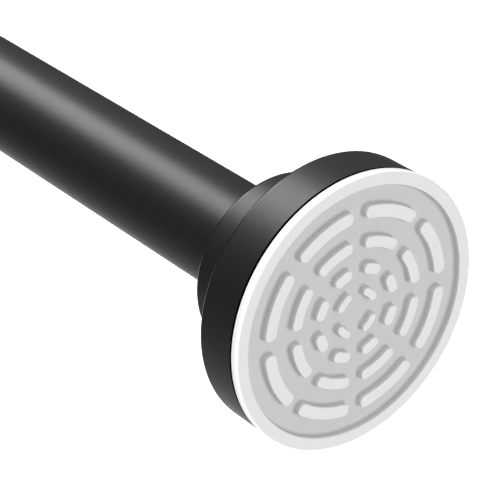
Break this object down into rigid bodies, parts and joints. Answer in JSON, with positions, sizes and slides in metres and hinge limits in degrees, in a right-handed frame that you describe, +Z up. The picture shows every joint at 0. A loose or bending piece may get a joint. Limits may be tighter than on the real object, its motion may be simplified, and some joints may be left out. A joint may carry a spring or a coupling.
{
  "type": "spring tension rod",
  "caption": "Telescopic black curtain rod with a twist lock and an inner spring, held between two walls by round end caps with ribbed white rubber pads.",
  "frame": {"origin": "centre of the near pad's contact face, on the rod's axis", "axes": "+X along the rod, out of the near pad's face; +Z up; the rod runs to -X"},
  "size_m": [0.4433, 0.0648, 0.0648],
  "materials": {
    "tube_paint": "steel tube with a smooth satin black coat",
    "cap_plastic": "moulded ABS, fine satin texture",
    "pad_rubber": "white thermoplastic rubber, matte",
    "plug_plastic": "moulded nylon",
    "acetal": "moulded acetal",
    "nut_brass": "turned brass",
    "zinc_steel": "zinc plated steel",
    "spring_steel": "drawn spring wire"
  },
  "bodies": {
    "outer": {"outer_tube": "tube_paint", "outer_end_cap": "cap_plastic", "outer_pad": "pad_rubber", "outer_tube_plug": "plug_plastic", "outer_cap_screw": "zinc_steel", "outer_cap_washer": "zinc_steel", "tube_mouth_ring": "cap_plastic"},
    "lock_sleeve": {"lock_sleeve": "acetal"},
    "lock_cone": {"lock_cone": "nut_brass"},
    "core": {"lock_stud": "zinc_steel", "stud_clip": "zinc_steel", "stem_clip": "zinc_steel", "drive_stem": "plug_plastic", "spring_washer": "zinc_steel"},
    "inner": {"inner_tube": "tube_paint", "inner_end_cap": "cap_plastic", "inner_pad": "pad_rubber", "inner_tube_plug": "plug_plastic", "inner_cap_screw": "zinc_steel", "inner_cap_washer": "zinc_steel", "guide_bush": "plug_plastic", "spring_seat": "plug_plastic", "compression_spring": "spring_steel"}
  },
  "joints": [
    {"name": "length_slide", "type": "slide", "parent": "outer", "child": "lock_sleeve", "axis": [-1, 0, 0], "range_m": [-0.0195, 0.241]},
    {"name": "twist_lock", "type": "hinge", "parent": "lock_sleeve", "child": "core", "pos_m": [-0.1, 0, 0], "axis": [1, 0, 0], "range_deg": [0, 270]},
    {"name": "cone_draw", "type": "slide", "parent": "lock_sleeve", "child": "lock_cone", "axis": [1, 0, 0], "range_m": [0, 0.00151]},
    {"name": "spring_stroke", "type": "slide", "parent": "core", "child": "inner", "axis": [1, 0, 0], "range_m": [0, 0.02], "stiffness_N_per_m": 1300, "springref_m": -0.0115, "deforming": ["compression_spring"]}
  ],
  "couplings": [
    {"joint": "cone_draw", "follows": "twist_lock", "m_per_rad": 0.00031831}
  ]
}
